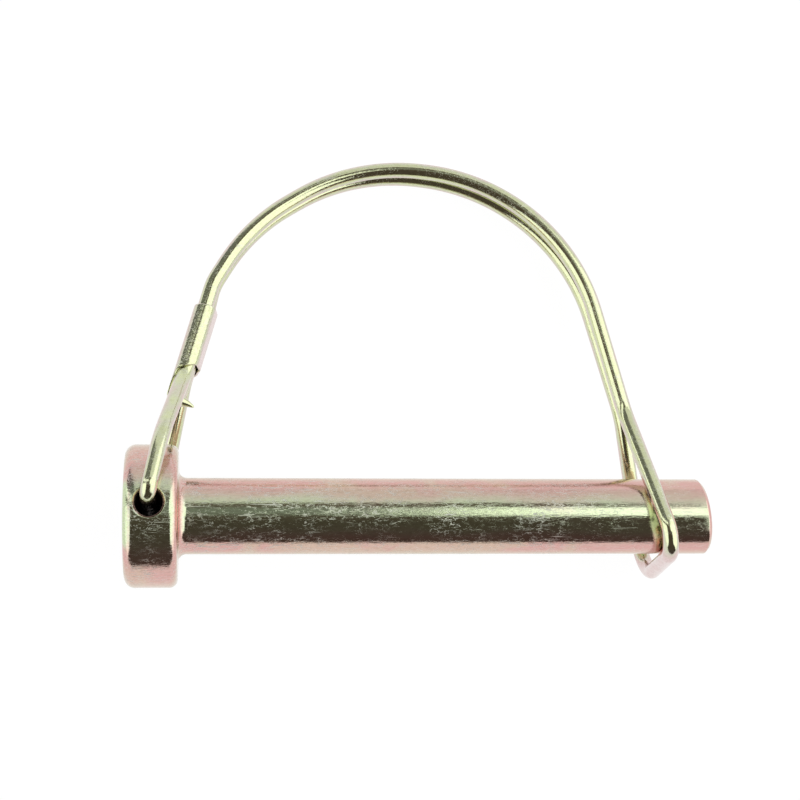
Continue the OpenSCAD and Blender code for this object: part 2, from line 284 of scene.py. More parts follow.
def fillet_line(path, step=0.5, fine=np.radians(4)):
    """Middle line of a bent wire: points, directions, one direction across, and length run.

    Each bend is an arc: its centre + r (sin a ahead - cos a inward), for a from 0 to the bend."""
    corner = np.array([p for p, _ in path], float)
    radius = np.array([r for _, r in path], float)
    heading = unit(np.diff(corner, axis=0))
    cosine = np.clip((heading[:-1] * heading[1:]).sum(1), -1, 1)
    bend = np.concatenate([[0], np.arccos(cosine), [0]])
    trim = radius * np.tan(bend / 2)
    across = unit(np.cross(heading[0], [0.0, 0.0, 1.0]))
    points, along, side = [], [], []
    for i, way in enumerate(heading):
        start, stop = corner[i] + trim[i] * way, corner[i + 1] - trim[i + 1] * way
        count = max(2, int(np.linalg.norm(stop - start) / step) + 1)
        points.append(start + (stop - start) * np.linspace(0, 1, count)[:, None])
        along.append(np.repeat(way[None], count, 0))
        side.append(np.repeat(across[None], count, 0))
        if i + 1 < len(heading):
            axis = unit(np.cross(way, heading[i + 1]))
            inward, r, angle = np.cross(axis, way), radius[i + 1], bend[i + 1]
            count = max(3, int(max(angle / fine, angle * r / step)) + 1)
            a = np.linspace(0, angle, count)[1:-1, None]
            points.append(stop + r * inward + r * (np.sin(a) * way - np.cos(a) * inward))
            along.append(np.cos(a) * way + np.sin(a) * inward)
            side.append(turned_about(axis, across, a))
            across = turned_about(axis, across, angle)
    points, along, side = (np.concatenate(x) for x in (points, along, side))
    return points, along, side, length_along(points)


line, ahead_of, across_of, run = fillet_line(BAIL_PATH)
print(f"wire {run[-1]:.0f} mm long, {len(line)} rings")

# %% [markdown]
# ## The bail
# Spring wire is drawn through a die, so its section is the same round all the way. A curve
# with a round bevel would give it, but its ends would be sharp. Here a ring of points is
# carried along the middle line. Near each end the ring follows a small rounding and then
# closes, so that the wire has a soft edge and a flat end.

# %% Bail wire
AROUND, END_ROUND, END_STEPS, END_MARGIN = 40, 0.3, 7, 1.2


def swept(at, size, line, along, side, run, flatten=1.0, around=AROUND):
    """Sweep: middle(s) + size(s) (cos a side + flatten sin a up), where up = along x side."""
    def pick(values):
        return np.stack([np.interp(at, run, values[:, k]) for k in range(3)], -1)

    centre, ahead_here, side_here = pick(line), unit(pick(along)), unit(pick(side))
    up = np.cross(ahead_here, side_here)
    a = np.linspace(0, 2 * np.pi, around, endpoint=False)[None, :, None]
    ring = np.cos(a) * side_here[:, None] + flatten * np.sin(a) * up[:, None]
    return centre[:, None] + np.asarray(size)[:, None, None] * ring


def wire_stations(run, r, ease=END_ROUND):
    """Places along the wire, and radii: r, less ease (1 - cos b) on the rounding of both ends."""
    b = np.linspace(0, np.pi / 2, END_STEPS)
    cap, small = ease * (1 - np.sin(b)), r - ease * (1 - np.cos(b))
    body = run[(run > END_MARGIN * ease) & (run < run[-1] - END_MARGIN * ease)]
    at = np.concatenate([[0], cap[::-1], body, run[-1] - cap, [run[-1]]])
    size = np.concatenate([[0], small[::-1], np.full(len(body), r), small, [0]])
    return at, size


skin = swept(*wire_stations(run, WIRE_R), line, ahead_of, across_of, run)
bail = build("bail_wire", [(lean(skin), quads(*skin.shape[:2], wrap=True))])
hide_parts("wire_bail")
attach(bail, "bail")

# %% [markdown]
# ## The burr
# Side cutters squeeze a wire before it parts, and push a thorn of metal out sideways. It
# could be cut from the wire's own mesh, but a piece of its own is simpler and sinks into
# the wire without a seam that shows. It is a short horn: an oval ring carried along a
# slightly drooping line, and shrinking to its tip.


# %% Burr
def in_sleeve(points):
    """From the sleeve's own frame (X across, Y back, Z up the sleeve) to the upright drawing."""
    x, y, z = np.moveaxis(np.asarray(points, float), -1, 0)
    flat = MOUTH + x[..., None] * SLEEVE_RIGHT + z[..., None] * SLEEVE_UP
    return np.concatenate([flat, -y[..., None]], -1)


HORN_FROM, HORN_TO, HORN_DROP, HORN_RINGS, HORN_AROUND = 0.15, 2.35, 4.2, 16, 20
HORN_SLOPE, HORN_SAG = 0.1, 0.25
HORN_TAPER, HORN_TIP, HORN_FLAT = 0.78, 0.12, 0.9
out = np.linspace(0, 1, HORN_RINGS)
# Straight across, at the cut strand's depth, and drooping by slope out + sag out squared.
horn = np.stack([HORN_FROM + (HORN_TO - HORN_FROM) * out, np.full(HORN_RINGS, PAIR_Z),
                 -HORN_DROP - HORN_SLOPE * out - HORN_SAG * out**2], -1)
horn_along = unit(np.gradient(horn, axis=0))
horn_side = unit(np.cross(np.cross(horn_along, [0.0, 0.0, 1.0]), horn_along))
horn_size = np.where(out < 1, HORN_TAPER * (1 - out) + HORN_TIP, 0.0)
horn_run = length_along(horn)
thorn = swept(horn_run, horn_size, horn, horn_along, horn_side, horn_run, HORN_FLAT, HORN_AROUND)
burr = build("burr", [(lean(in_sleeve(thorn)), quads(*thorn.shape[:2], wrap=True))])
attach(burr, "bail")

# %% [markdown]
# ## The sleeve
# The sleeve is one piece of thin sheet, folded round the wires and squeezed. It could be a
# flat plane with a Solidify modifier, but its section changes all the way up. So its
# outside is the outline round three discs, one for each wire. Higher up, the third wire has
# ended, and the sheet slopes in to two. The mouth is scooped: its rim bows down to the
# left, where a narrow tongue stays, and the back of the rim reaches down behind the legs.
# At the mouth the sheet flares a little, as the bending legs push it open.

# %% The sleeve's section
SHEET, SLEEVE_R = 0.35, WIRE_R + 0.40
COLUMNS, ROWS, DEPTHS = 180, 40, 32
FINE_ANGLES, NUDGE = 2881, 1e-9


def section(depth_share):
    """Outline round the discs: p(f) = the disc furthest along n(f), plus R n(f), evenly spaced."""
    wires = np.array([FRONT, MIDDLE, BACK]) * [1, -1]
    wires[2] = wires[1] + (wires[2] - wires[1]) * depth_share
    f = np.linspace(0, 2 * np.pi, FINE_ANGLES) - np.pi / 2
    n = np.stack([np.cos(f), np.sin(f)], -1)
    p = wires[(n @ wires.T).argmax(1)] + SLEEVE_R * n
    length = length_along(p)
    even = np.linspace(0, length[-1], COLUMNS, endpoint=False)
    # The nudge keeps the lengths rising where two points coincide.
    length += np.arange(len(length)) * NUDGE
    return [np.stack([np.interp(even, length, v[:, k]) for k in (0, 1)], -1) for v in (p, n)]


sections = np.array([section(depth) for depth in np.linspace(0, 1, DEPTHS + 1)])
stack_p, stack_n = sections[:, 0], unit(sections[:, 1])
across, behind = stack_p[-1].T
print(f"{DEPTHS + 1} sections, at the mouth {np.ptp(across):.2f} mm by {np.ptp(behind):.2f} mm")

# %% The sleeve's rims and walls
RIM_LOW, RIM_SLOPE, SLOPE_FROM = 0.35, 0.45, -0.3
LEFT_FROM, LEFT_WIDTH, BOW, TONGUE = 0.1, 1.55, 0.5, 3.6
BACK_FROM, BACK_WIDTH, BACK_LEFT_FROM, BACK_LEFT_WIDTH = 1.2, 2.0, 0.3, 1.6
BACK_HIGH, BACK_DROP = 0.4, 2.9
TOP_RISE, TOP_SLOPE, CROWD = 0.42, 0.1, 0.06
FLARE_FROM, FLARE_DEPTH, FLARE_BEND = 0.8, 2.4, 10.0
leftward = share(-across, -LEFT_FROM, LEFT_WIDTH)
low = (RIM_SLOPE * np.clip(across - SLOPE_FROM, 0, None) - RIM_LOW
       - BOW * leftward**2 - TONGUE * leftward**10)
back_low = BACK_HIGH - (BACK_DROP * share(-across, -BACK_LEFT_FROM, BACK_LEFT_WIDTH)
                        * share(behind, BACK_FROM, BACK_WIDTH))
low = np.where(behind > BACK_FROM, np.minimum(low, back_low), low)
high = SLEEVE_LEN + TOP_RISE + TOP_SLOPE * across
print(f"mouth's rim from {low.min():.1f} to {low.max():.1f} mm, top at {high.mean():.1f} mm")


def wall(z, inset):
    """The sheet at height z: p - inset n, blended by depth between the two nearest sections.

    Below FLARE_FROM it opens: y grows by n's y times the depth squared, over FLARE_BEND."""
    depth = share(SLEEVE_LEN - z, 0, SLEEVE_LEN - TRIPLE_LEN) * DEPTHS
    k = np.clip(depth.astype(int), 0, DEPTHS - 1)
    part, column = (depth - k)[..., None], np.arange(COLUMNS)
    p = stack_p[k, column] * (1 - part) + stack_p[k + 1, column] * part
    n = unit(stack_n[k, column] * (1 - part) + stack_n[k + 1, column] * part)
    x, y = np.moveaxis(p - n * np.asarray(inset)[..., None], -1, 0)
    flare = np.clip(FLARE_FROM - z, 0, FLARE_DEPTH) ** 2 / FLARE_BEND * n[..., 1]
    return np.stack([x, y + flare, z], -1)


# Rings: down the outside, round the lower edge, up the inside, round the upper edge.
levels = np.linspace(0, 1, ROWS)
levels = (levels - CROWD * np.sin(2 * np.pi * levels))[:, None]
sides = low + SHEET / 2 + (high - low - SHEET) * levels
a = np.linspace(0, np.pi, 7)[1:-1, None]
lift, inset = SHEET / 2 * (1 - np.sin(a)), SHEET / 2 * (1 - np.cos(a))
rings = np.concatenate([wall(sides[::-1], 0.0), wall(low + lift, inset),
                        wall(sides, SHEET), wall(high - lift, inset[::-1])])
rings = np.concatenate([rings, rings[:1]])
sleeve = build("sleeve", [(lean(in_sleeve(rings)), quads(*rings.shape[:2], wrap=True))])
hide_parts("ferrule")
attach(sleeve, "bail")

# %% [markdown]
# ## The pin
# The pin is turned from round bar, so a profile spun about the axis gives nearly all of it.
# There are two exceptions: its sawn tip slants, and the cross hole breaks the head's side
# twice. A Boolean could cut the hole, but it leaves long, thin faces that spoil a polished
# surface. So the head is spun in rings with a window left open on each side, and a patch
# leads from each window's square edge to the hole's round rim.


# %% Pin profile
def arc(centre, r, start, stop, n):
    """Points on a circle: centre + r (cos t, sin t), t in degrees."""
    t = np.radians(np.linspace(start, stop, n))
    return np.stack([centre[0] + r * np.cos(t), centre[1] + r * np.sin(t)], -1)


def straight(a, b, n):
    """Points on a straight, without its two ends: (1 - t) a + t b."""
    t = np.linspace(0, 1, n + 2)[1:-1, None]
    return np.array(a) * (1 - t) + np.array(b) * t


DOME_R, DOME_ROWS, FACE_R, FACE_EDGE, BEARING_EDGE, ROOT_R = 109.5, 13, 7.9, 1.45, 1.1, 1.1
TIP_EASE, TIP_CUT, CUT_ANGLE, TIP_MIDDLE = 0.25, 0.45, 45, 0.3
rise = np.linspace(0, FACE_R, DOME_ROWS + 1)[:-1]
dome = np.stack([DOME_R - HEAD_T - np.sqrt(DOME_R**2 - rise**2), rise], -1)
edge_x = DOME_R - HEAD_T - np.sqrt(DOME_R**2 - FACE_R**2) + FACE_EDGE
ease_trim = TIP_EASE * np.tan(np.radians(CUT_ANGLE / 2))
cut_x, cut_r = SHANK_LEN - TIP_CUT - ease_trim, SHANK_R - TIP_CUT - ease_trim
# From the middle of the head's end to the middle of the tip: x along the axis, and radius.
profile = np.concatenate([
    dome, arc((edge_x, FACE_R), FACE_EDGE, 180, 90, 19),
    straight((edge_x, HEAD_R), (-BEARING_EDGE, HEAD_R), 11),
    arc((-BEARING_EDGE, HEAD_R - BEARING_EDGE), BEARING_EDGE, 90, 0, 19),
    straight((0, HEAD_R - BEARING_EDGE), (0, SHANK_R + ROOT_R), 4),
    arc((ROOT_R, SHANK_R + ROOT_R), ROOT_R, 180, 270, 15),
    straight((ROOT_R, SHANK_R), (cut_x, SHANK_R), 60),
    arc((cut_x, SHANK_R - TIP_EASE), TIP_EASE, 90, CUT_ANGLE, 5),
    arc((SHANK_LEN - TIP_EASE, cut_r), TIP_EASE, CUT_ANGLE, 0, 5),
    straight((SHANK_LEN, cut_r), (SHANK_LEN, TIP_MIDDLE), 8), [[SHANK_LEN, 0.0]]])
print(f"pin profile {len(profile)} points")

# %% Pin rings with two windows
SLANT, SLANT_FROM, SLANT_WIDTH = np.tan(np.radians(6.0)), SHANK_LEN - 1.2, 0.4
SPOKES, WINDOW = 128, 6
SIDE_FROM, FACE_EDGE_STOP, BEARING_EDGE_STOP = 8.9, np.radians(55), np.radians(80)


def round_the_axis(x, r, a):
    """A place on the turned pin: (x, r sin a, r cos a). Near the tip, x shrinks with y: a slant."""
    y, z = r * np.sin(a), r * np.cos(a)
    return np.stack([x - share(x, SLANT_FROM, SLANT_WIDTH) * SLANT * y, y, z], -1)


def row_at(x):
    """The profile's row on the head's side that is nearest to x."""
    return int(np.argmin(np.where(profile[:, 1] > SIDE_FROM, np.abs(profile[:, 0] - x), np.inf)))


lathe = round_the_axis(profile[:, :1], profile[:, 1:], 2 * np.pi * np.arange(SPOKES)[None] / SPOKES)
cells = quads(*lathe.shape[:2], wrap=True)
first = row_at(edge_x - FACE_EDGE * np.cos(FACE_EDGE_STOP))
last = row_at(-BEARING_EDGE + BEARING_EDGE * np.cos(BEARING_EDGE_STOP))
# A cell is in a window if it lies between the two rows, and near the front or back spoke.
row, spoke = np.divmod(cells[:, 0], SPOKES)
in_window = (row >= first) & (row < last) & ((spoke + WINDOW) % (SPOKES // 2) < 2 * WINDOW)
print(f"window rows {first}-{last}, {np.sum(in_window)} cells left open")

# %% Head patches and cross hole
# The window's border, once round: first row, last spoke, last row, first spoke.
border_x = profile[first:last + 1, 0]
border_a = 2 * np.pi / SPOKES * np.arange(-WINDOW, WINDOW + 1)
along_x, along_a = len(border_x) - 1, 2 * WINDOW
frame_x = np.concatenate([np.full(along_a, border_x[0]), border_x[:-1],
                          np.full(along_a, border_x[-1]), border_x[:0:-1]])
frame_a = np.concatenate([border_a[:-1], np.full(along_x, border_a[-1]),
                          border_a[:0:-1], np.full(along_x, border_a[0])])
# Steps of the rim's chamfer, softened at both edges: out from the hole's wall, and down.
CHAMFER = ((0.30, 0.0), (0.27, 0.012), (0.22, 0.055), (0.06, 0.22), (0.015, 0.28), (0.0, 0.34))
PATCH_RINGS, HOLE_RINGS, ROWS_BEFORE, ROWS_AFTER = 8, 7, 6, 8
near_window = profile[first - ROWS_BEFORE:last + ROWS_AFTER]


def head_radius(x):
    """The head's radius at x: straight between the profile's rows."""
    return np.interp(x, near_window[:, 0], near_window[:, 1])


def near_hole(out, phi, drop=0.0):
    """A place on the head's side, out from the hole's axis: z = sqrt(radius^2 - y^2) - drop."""
    x, y = HOLE_X + out * np.cos(phi), out * np.sin(phi)
    return np.stack([x, y, np.sqrt(head_radius(x) ** 2 - y**2) - drop], -1)


# The patch blends from the border to the rim; both have their points in the same directions.
phi = np.arctan2(head_radius(frame_x) * np.sin(frame_a), frame_x - HOLE_X)
rim = near_hole(HOLE_R + CHAMFER[0][0], phi)
rim_a = np.arcsin(rim[:, 1] / head_radius(rim[:, 0]))
t = np.linspace(0, 1, PATCH_RINGS + 1)[:-1, None]
patch_x, patch_a = (1 - t) * frame_x + t * rim[:, 0], (1 - t) * frame_a + t * rim_a
patch = round_the_axis(patch_x, head_radius(patch_x), patch_a)
chamfer = np.array([near_hole(HOLE_R + out, phi, drop) for out, drop in CHAMFER])
fall = np.linspace(1, 0, HOLE_RINGS + 1)[1:, None]
hole_wall = chamfer[-1] * np.stack(np.broadcast_arrays(1.0, 1.0, fall), -1)
front = np.concatenate([patch, chamfer, hole_wall])
faces = quads(*front.shape[:2], wrap=True)
pin = build("pin", [(lean(lathe), cells[~in_window]), (lean(front), faces),
                    (lean(front * [1, 1, -1]), faces)])
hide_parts("headed_pin")
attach(pin, "pin")

# %% [markdown]
# ## The zinc finish
# Yellow zinc plating is bright steel under a film as thin as a soap bubble's. Seen straight
# on it is a pale yellow green, then it turns tan, and rose towards the edges. The shader has
# a thin film of its own, but its colours are hard to steer to these pale ones. So a colour
# ramp lists them in order. Where the film is thicker or thinner the colours shift along
# that row, and one number, the phase, picks the colour: the angle of view plus drifting
# clouds. Handling leaves dark pits and matt, pale strokes. Clouds and wear are one node
# group, and each material has its own values.


# %% A few helpers for shader nodes
def new_group(name, inputs, outputs):
    """A shader node group: inputs are (name, type, value), outputs are (name, type)."""
    group = bpy.data.node_groups.new(name, "ShaderNodeTree")
    for label, kind, value in inputs:
        socket = group.interface.new_socket(label, in_out="INPUT", socket_type="NodeSocket" + kind)
        if value is not None:
            socket.default_value = value
    for label, kind in outputs:
        group.interface.new_socket(label, in_out="OUTPUT", socket_type="NodeSocket" + kind)
    return group


class Wiring:
    """Adds nodes to a tree: each call takes values or sockets for the inputs, by place or name."""

    def __init__(self, tree):
        self.tree = tree

    def add(self, kind, *values, **settings):
        """A new node of a kind, with its settings made and its inputs filled."""
        inputs = settings.pop("inputs", {})
        node = self.tree.nodes.new(kind if kind.startswith("NodeGroup") else "ShaderNode" + kind)
        for key, value in settings.items():
            setattr(node, key, value)
        for key, value in [*enumerate(values), *inputs.items()]:
            self.put(node.inputs[key], value)
        return node

    def put(self, socket, value):
        """Links a socket to an input, or writes a plain value into it."""
        if isinstance(value, bpy.types.NodeSocket):
            self.tree.links.new(value, socket)
        elif value is not None:
            socket.default_value = value

    def math(self, operation, *values, clamp=False):
        """One operation on numbers, kept between 0 and 1 if clamped."""
        return self.add("Math", *values, operation=operation, use_clamp=clamp).outputs[0]

    def vector(self, operation, *values):
        """One operation on vectors."""
        return self.add("VectorMath", *values, operation=operation).outputs[0]

    def length(self, vector):
        """The square root of x^2 + y^2 + z^2."""
        return self.add("VectorMath", vector, operation="LENGTH").outputs["Value"]

    def xyz(self, vector):
        """A vector's three numbers, to be asked for by name."""
        return self.add("SeparateXYZ", vector).outputs

    def noise(self, vector, scale, detail=3.0, rough=0.55, distort=0.0):
        """Noise with scale spots to a metre, and detail finer layers upon them."""
        return self.add("TexNoise", inputs={"Vector": vector, "Scale": scale, "Detail": detail,
                                            "Roughness": rough, "Distortion": distort})

    def ramp(self, value, low, high, out_low=0.0, out_high=1.0):
        """A smooth step: with t from 0 at low to 1 at high, t^2 (3 - 2 t) between the outputs."""
        node = self.add("MapRange", value, low, high, out_low, out_high,
                        interpolation_type="SMOOTHSTEP")
        return node.outputs[0]

    def mix(self, factor, a, b, blend="MIX"):
        """Colours mixed: (1 - factor) a + factor b, or factor of another blend of the two."""
        node = self.add("Mix", data_type="RGBA", blend_type=blend)
        for key, value in ((0, factor), (6, a), (7, b)):
            self.put(node.inputs[key], value)
        return node.outputs[2]

    def colours(self, value, stops):
        """A colour ramp: the stops are (place, colour), with a smooth curve between them."""
        node = self.add("ValToRGB", value)
        node.color_ramp.interpolation = "B_SPLINE"
        while len(node.color_ramp.elements) < len(stops):
            node.color_ramp.elements.new(0.5)
        for element, (at, colour) in zip(node.color_ramp.elements, stops):
            element.position, element.color = at, (*colour, 1)
        return node.outputs["Color"]


print("node helpers ready")

# %% Plating effect: clouds, grain, and strokes in patches
plating = new_group(
    "zinc_plating",
    [("Vector", "Vector", None), ("Stretch", "Vector", (1, 1, 1)),
     ("Cloud Scale", "Float", 150.0), ("Grain Scale", "Float", 2500.0),
     ("Stroke Scale", "Float", 700.0), ("Strokes", "Float", 0.5),
     ("Polish", "Float", 0.2), ("Haze", "Float", 0.2)],
    [("Cloud", "Float"), ("Dirt", "Float"), ("Scuff", "Float"), ("Roughness", "Float"),
     ("Height", "Float")])
w = Wiring(plating)
given = w.add("NodeGroupInput").outputs
sent = w.add("NodeGroupOutput").inputs
# Clouds are broad and grain is fine; a streak is grain drawn out about three times along X.
drawn = w.vector("MULTIPLY", given["Vector"], given["Stretch"])
cloud = w.noise(drawn, given["Cloud Scale"], 5.0, 0.62, 0.8).outputs["Fac"]
grain = w.noise(drawn, given["Grain Scale"], 4.0, 0.65).outputs["Fac"]
streak = w.noise(w.vector("MULTIPLY", drawn, (0.3, 1, 1)),
                 w.math("MULTIPLY", given["Grain Scale"], 1.5), 2.0).outputs["Fac"]


def strokes_of(size):
    """Short curved strokes: the borders of wandering cells, kept only in patches."""
    scale = w.math("MULTIPLY", given["Stroke Scale"], size)
    wander = w.noise(drawn, w.math("MULTIPLY", scale, 1.6), 2.0).outputs["Color"]
    drift = w.vector("MULTIPLY", wander, (0.0011 / size,) * 3)
    border = w.add("TexVoronoi", inputs={"Vector": w.vector("ADD", drawn, drift), "Scale": scale},
                   feature="DISTANCE_TO_EDGE").outputs["Distance"]
    spots = w.noise(drawn, w.math("MULTIPLY", scale, 0.9), 3.0, 0.65).outputs["Fac"]
    return w.math("MULTIPLY", w.ramp(border, 0.010, 0.055, 1.0, 0.0), w.ramp(spots, 0.49, 0.55))


# Zones of some millimetres wear more or less; a scratch is grain drawn out six times.
zones = w.ramp(w.noise(given["Vector"], 180.0, 3.0, 0.6).outputs["Fac"], 0.36, 0.62, 0.3, 1.0)
scratch = w.noise(w.vector("MULTIPLY", drawn, (0.16, 1, 1)), given["Grain Scale"], 2.0, 0.5, 0.6)
strokes = w.math("MAXIMUM", w.math("MAXIMUM", strokes_of(1.0), strokes_of(1.9)),
                 w.ramp(scratch.outputs["Fac"], 0.64, 0.70))
strokes = w.math("MULTIPLY", strokes, zones)
specks = w.math("MULTIPLY", w.ramp(grain, 0.60, 0.68), zones)
scuff = w.math("MULTIPLY", w.math("MAXIMUM", strokes, w.math("MULTIPLY", specks, 0.6)),
               given["Strokes"], clamp=True)
dirt = w.math("MULTIPLY", w.ramp(grain, 0.36, 0.52, 1.0, 0.0), given["Strokes"], clamp=True)
# Haze roughens the raised grain; scuffs are rougher still and lie a little deeper.
texture = w.math("ADD", grain, streak)
haze = w.math("MULTIPLY", w.ramp(texture, 0.92, 1.30), given["Haze"])
rough = w.math("ADD", w.math("ADD", given["Polish"], haze), w.math("MULTIPLY", scuff, 0.55),
               clamp=True)
height = w.math("ADD", texture, w.math("MULTIPLY", scuff, -0.25))
for label, value in (("Cloud", cloud), ("Dirt", dirt), ("Scuff", scuff), ("Roughness", rough),
                     ("Height", height)):
    w.put(sent[label], value)
print("plating group:", len(plating.nodes), "nodes")

# %% [markdown]
# ## Three platings from one recipe
# Pin, wire and sleeve came out of the same bath, but each took the film in its own way: the
# turned pin mostly rose, the drawn wire a brighter yellow green, and the squeezed sleeve
# mottled. Three materials could be wired one by one. Here one function wires them all, with
# a list of film colours and a few values for each, so that they stay one family.

# %% Film colours, from thin to thick
FILM = [(0.00, (0.57, 0.67, 0.41)), (0.07, (0.60, 0.66, 0.45)), (0.13, (0.63, 0.58, 0.44)),
        (0.20, (0.65, 0.49, 0.40)), (0.34, (0.67, 0.40, 0.37)), (0.54, (0.68, 0.39, 0.36)),
        (0.72, (0.67, 0.47, 0.38)), (1.00, (0.63, 0.56, 0.42))]
WIRE_FILM = [(0.00, (0.65, 0.69, 0.41)), (0.15, (0.63, 0.66, 0.46)), (0.33, (0.64, 0.61, 0.50)),
             (0.50, (0.68, 0.56, 0.51)), (0.70, (0.72, 0.53, 0.52)), (1.00, (0.76, 0.66, 0.64))]
DIRT, PALE, GOLD = (0.24, 0.19, 0.12, 1), (0.80, 0.81, 0.76, 1), (0.62, 0.58, 0.40, 1)
# The near-black colour below is painted shade for the inside of the cross hole, not the plating's
# own colour.
HOLE_PAINTED_SHADE = (0.06, 0.04, 0.022, 1)
BUMP_M = 0.0001
# Where an effect comes or goes: from and to, in mm.
RIM_ENDS, RIM_SIDES, RIM_EDGE = (-7.0, -6.0), (3.0, 6.0), (7.2, 8.2)
TOWARDS_TIP, LOOP_SIDE, HOLE_EDGE = (50, 62), (-7.5, -3.0), (1.80, 1.93)
RIM_THINNER, LOOP_THICKER, TIP_STROKES = -0.8, 0.45, 0.4
print("film colours:", len(FILM), "on the pin,", len(WIRE_FILM), "on the wire and the sleeve")


# %% Where the film and the wear change
def ramp_mm(w, value, span, start=0.0, stop=1.0):
    """A smooth ramp over a span in mm: start before it, stop after it."""
    return w.ramp(value, span[0] * MM, span[1] * MM, start, stop)


def film_shift_on_pin(w, place):
    """Thinner film on the head's rim: a ramp along X, by one outwards, faded above and below."""
    at = w.xyz(place)
    outwards = w.length(w.vector("MULTIPLY", place, (0, 1, 1)))
    rim = w.math("MULTIPLY", ramp_mm(w, w.math("ABSOLUTE", at["Y"]), RIM_SIDES, 1.0, 0.0),
                 ramp_mm(w, outwards, RIM_EDGE))
    shift = w.math("MULTIPLY", ramp_mm(w, at["X"], RIM_ENDS, RIM_THINNER, 0.0), rim)
    return shift, ramp_mm(w, at["X"], TOWARDS_TIP, 1.0, TIP_STROKES)


def outside_painted_hole_shade(w, place):
    """1 on the surface, 0 in the cross hole, which gets a painted shade: a ramp on the distance
    from the hole's axis.
    """
    axis = tuple(unit(lean([0, 0, 1.0])))
    away = w.vector("CROSS_PRODUCT", w.vector("SUBTRACT", place, (HOLE_X * MM, 0, 0)), axis)
    return ramp_mm(w, w.length(away), HOLE_EDGE)


def zinc(name, film, spread, shift=0.0, bump=0.05, dirty=0.5, pale=0.4, gold=0.0, is_pin=False,
         **values):
    """Plated metal: phase = facing + spread (cloud - 1/2) + shifts picks the colour; then wear, and
    on the pin a painted shade in the cross hole.
    """
    material = bpy.data.materials.new(name)
    material.use_nodes = True
    w = Wiring(material.node_tree)
    shader = material.node_tree.nodes["Principled BSDF"].inputs
    place = w.add("TexCoord").outputs["Object"]
    effect = w.add("Group", node_tree=plating)
    w.put(effect.inputs["Vector"], place)
    for key, value in values.items():
        effect.inputs[key.replace("_", " ")].default_value = value
    worn = effect.outputs
    facing = w.add("LayerWeight", inputs={"Blend": 0.5}).outputs["Facing"]
    phase = w.math("MULTIPLY_ADD", w.math("SUBTRACT", worn["Cloud"], 0.5), spread,
                   w.math("ADD", facing, shift))
    if is_pin:
        local, stroke_share = film_shift_on_pin(w, place)
        w.put(effect.inputs["Strokes"], stroke_share)
    else:
        local = ramp_mm(w, w.xyz(place)["Y"], LOOP_SIDE, LOOP_THICKER, 0.0)
    phase = w.math("ADD", phase, local)
    gilt = w.ramp(w.noise(place, 85.0, 4.0, 0.6, 0.6).outputs["Fac"], 0.47, 0.62, 0.0, gold)
    gilt = w.math("MULTIPLY", gilt, w.ramp(phase, 0.12, 0.30))
    colour = w.mix(gilt, w.colours(phase, film), GOLD)
    colour = w.mix(w.math("MULTIPLY", worn["Dirt"], dirty), colour, DIRT)
    colour = w.mix(w.math("MULTIPLY", worn["Scuff"], pale), colour, PALE)
    metal = 1.0
    # On the pin the cross hole gets painted shade: near black, not metallic and fully rough, in
    # place of the shadow inside the hole.
    if is_pin:
        metal = outside_painted_hole_shade(w, place)
        colour = w.mix(metal, HOLE_PAINTED_SHADE, colour)
    w.put(shader["Metallic"], metal)
    w.put(shader["Base Color"], colour)
    w.put(shader["Roughness"], w.math("MAXIMUM", worn["Roughness"], w.math("SUBTRACT", 1.0, metal)))
    relief = w.add("Bump", inputs={"Strength": bump, "Distance": BUMP_M, "Height": worn["Height"]})
    w.put(shader["Normal"], relief.outputs["Normal"])
    return material


# %% The three platings
pin_zinc = zinc("pin_zinc", FILM, 0.34, bump=0.13, dirty=0.2, pale=0.7, gold=0.4, is_pin=True,
                Stretch=(0.4, 1, 1), Cloud_Scale=170.0, Grain_Scale=3600.0, Stroke_Scale=1300.0,
                Strokes=1.0, Polish=0.05, Haze=0.09)
wire_zinc = zinc("wire_zinc", WIRE_FILM, 1.1, shift=-0.22, bump=0.08, dirty=0.2, pale=0.6,
                 Cloud_Scale=300.0, Grain_Scale=2600.0, Stroke_Scale=1300.0,
                 Strokes=0.7, Polish=0.03, Haze=0.04)
sleeve_zinc = zinc("sleeve_zinc", WIRE_FILM, 1.2, shift=-0.20, bump=0.12, dirty=0.3, pale=0.7,
                   Cloud_Scale=300.0, Grain_Scale=3000.0, Stroke_Scale=1100.0,
                   Strokes=0.8, Polish=0.06, Haze=0.12)
wears = ((bail, wire_zinc), (burr, wire_zinc), (pin, pin_zinc), (sleeve, sleeve_zinc))
for thing, material in wears:
    thing.data.materials.append(material)
    print(thing.name, "wears", material.name)

# %% [markdown]
# ## The table
# The pin lies on its bail: three places of the wire carry it, its back knee, its loop and
# the arch. A level plane would cut into one of them, so the table is the plane under just
# those three. It is a plain white board. To the camera and in the metal it shines a little,
# so that it stays one even white out to the edge.

# %% Table
# The middle of the wire at those three places, in the upright drawing.
TOUCH = lean([[-3.35549, 2.20324, -10.4958], [63.7865, -4.91337, -8.29062],
              [32.7347, 48.3389, -1.52621]])
TABLE_REACH = 3000
floor_normal = unit(np.cross(TOUCH[1] - TOUCH[0], TOUCH[2] - TOUCH[0]))
floor_normal = floor_normal * np.sign(floor_normal[2])
floor_at = TOUCH[0] - WIRE_R * floor_normal
side_x = unit(np.cross([0, 1, 0], floor_normal))
side_y = np.cross(floor_normal, side_x)
corners = [((floor_at + TABLE_REACH * (a * side_x + b * side_y)) * MM).tolist()
           for a, b in ((-1, -1), (1, -1), (1, 1), (-1, 1))]
floor = bpy.data.objects.new("table", bpy.data.meshes.new("table"))
floor.data.from_pydata(corners, [], [(0, 1, 2, 3)])
bpy.context.scene.collection.objects.link(floor)
print("table normal", np.round(floor_normal, 4))

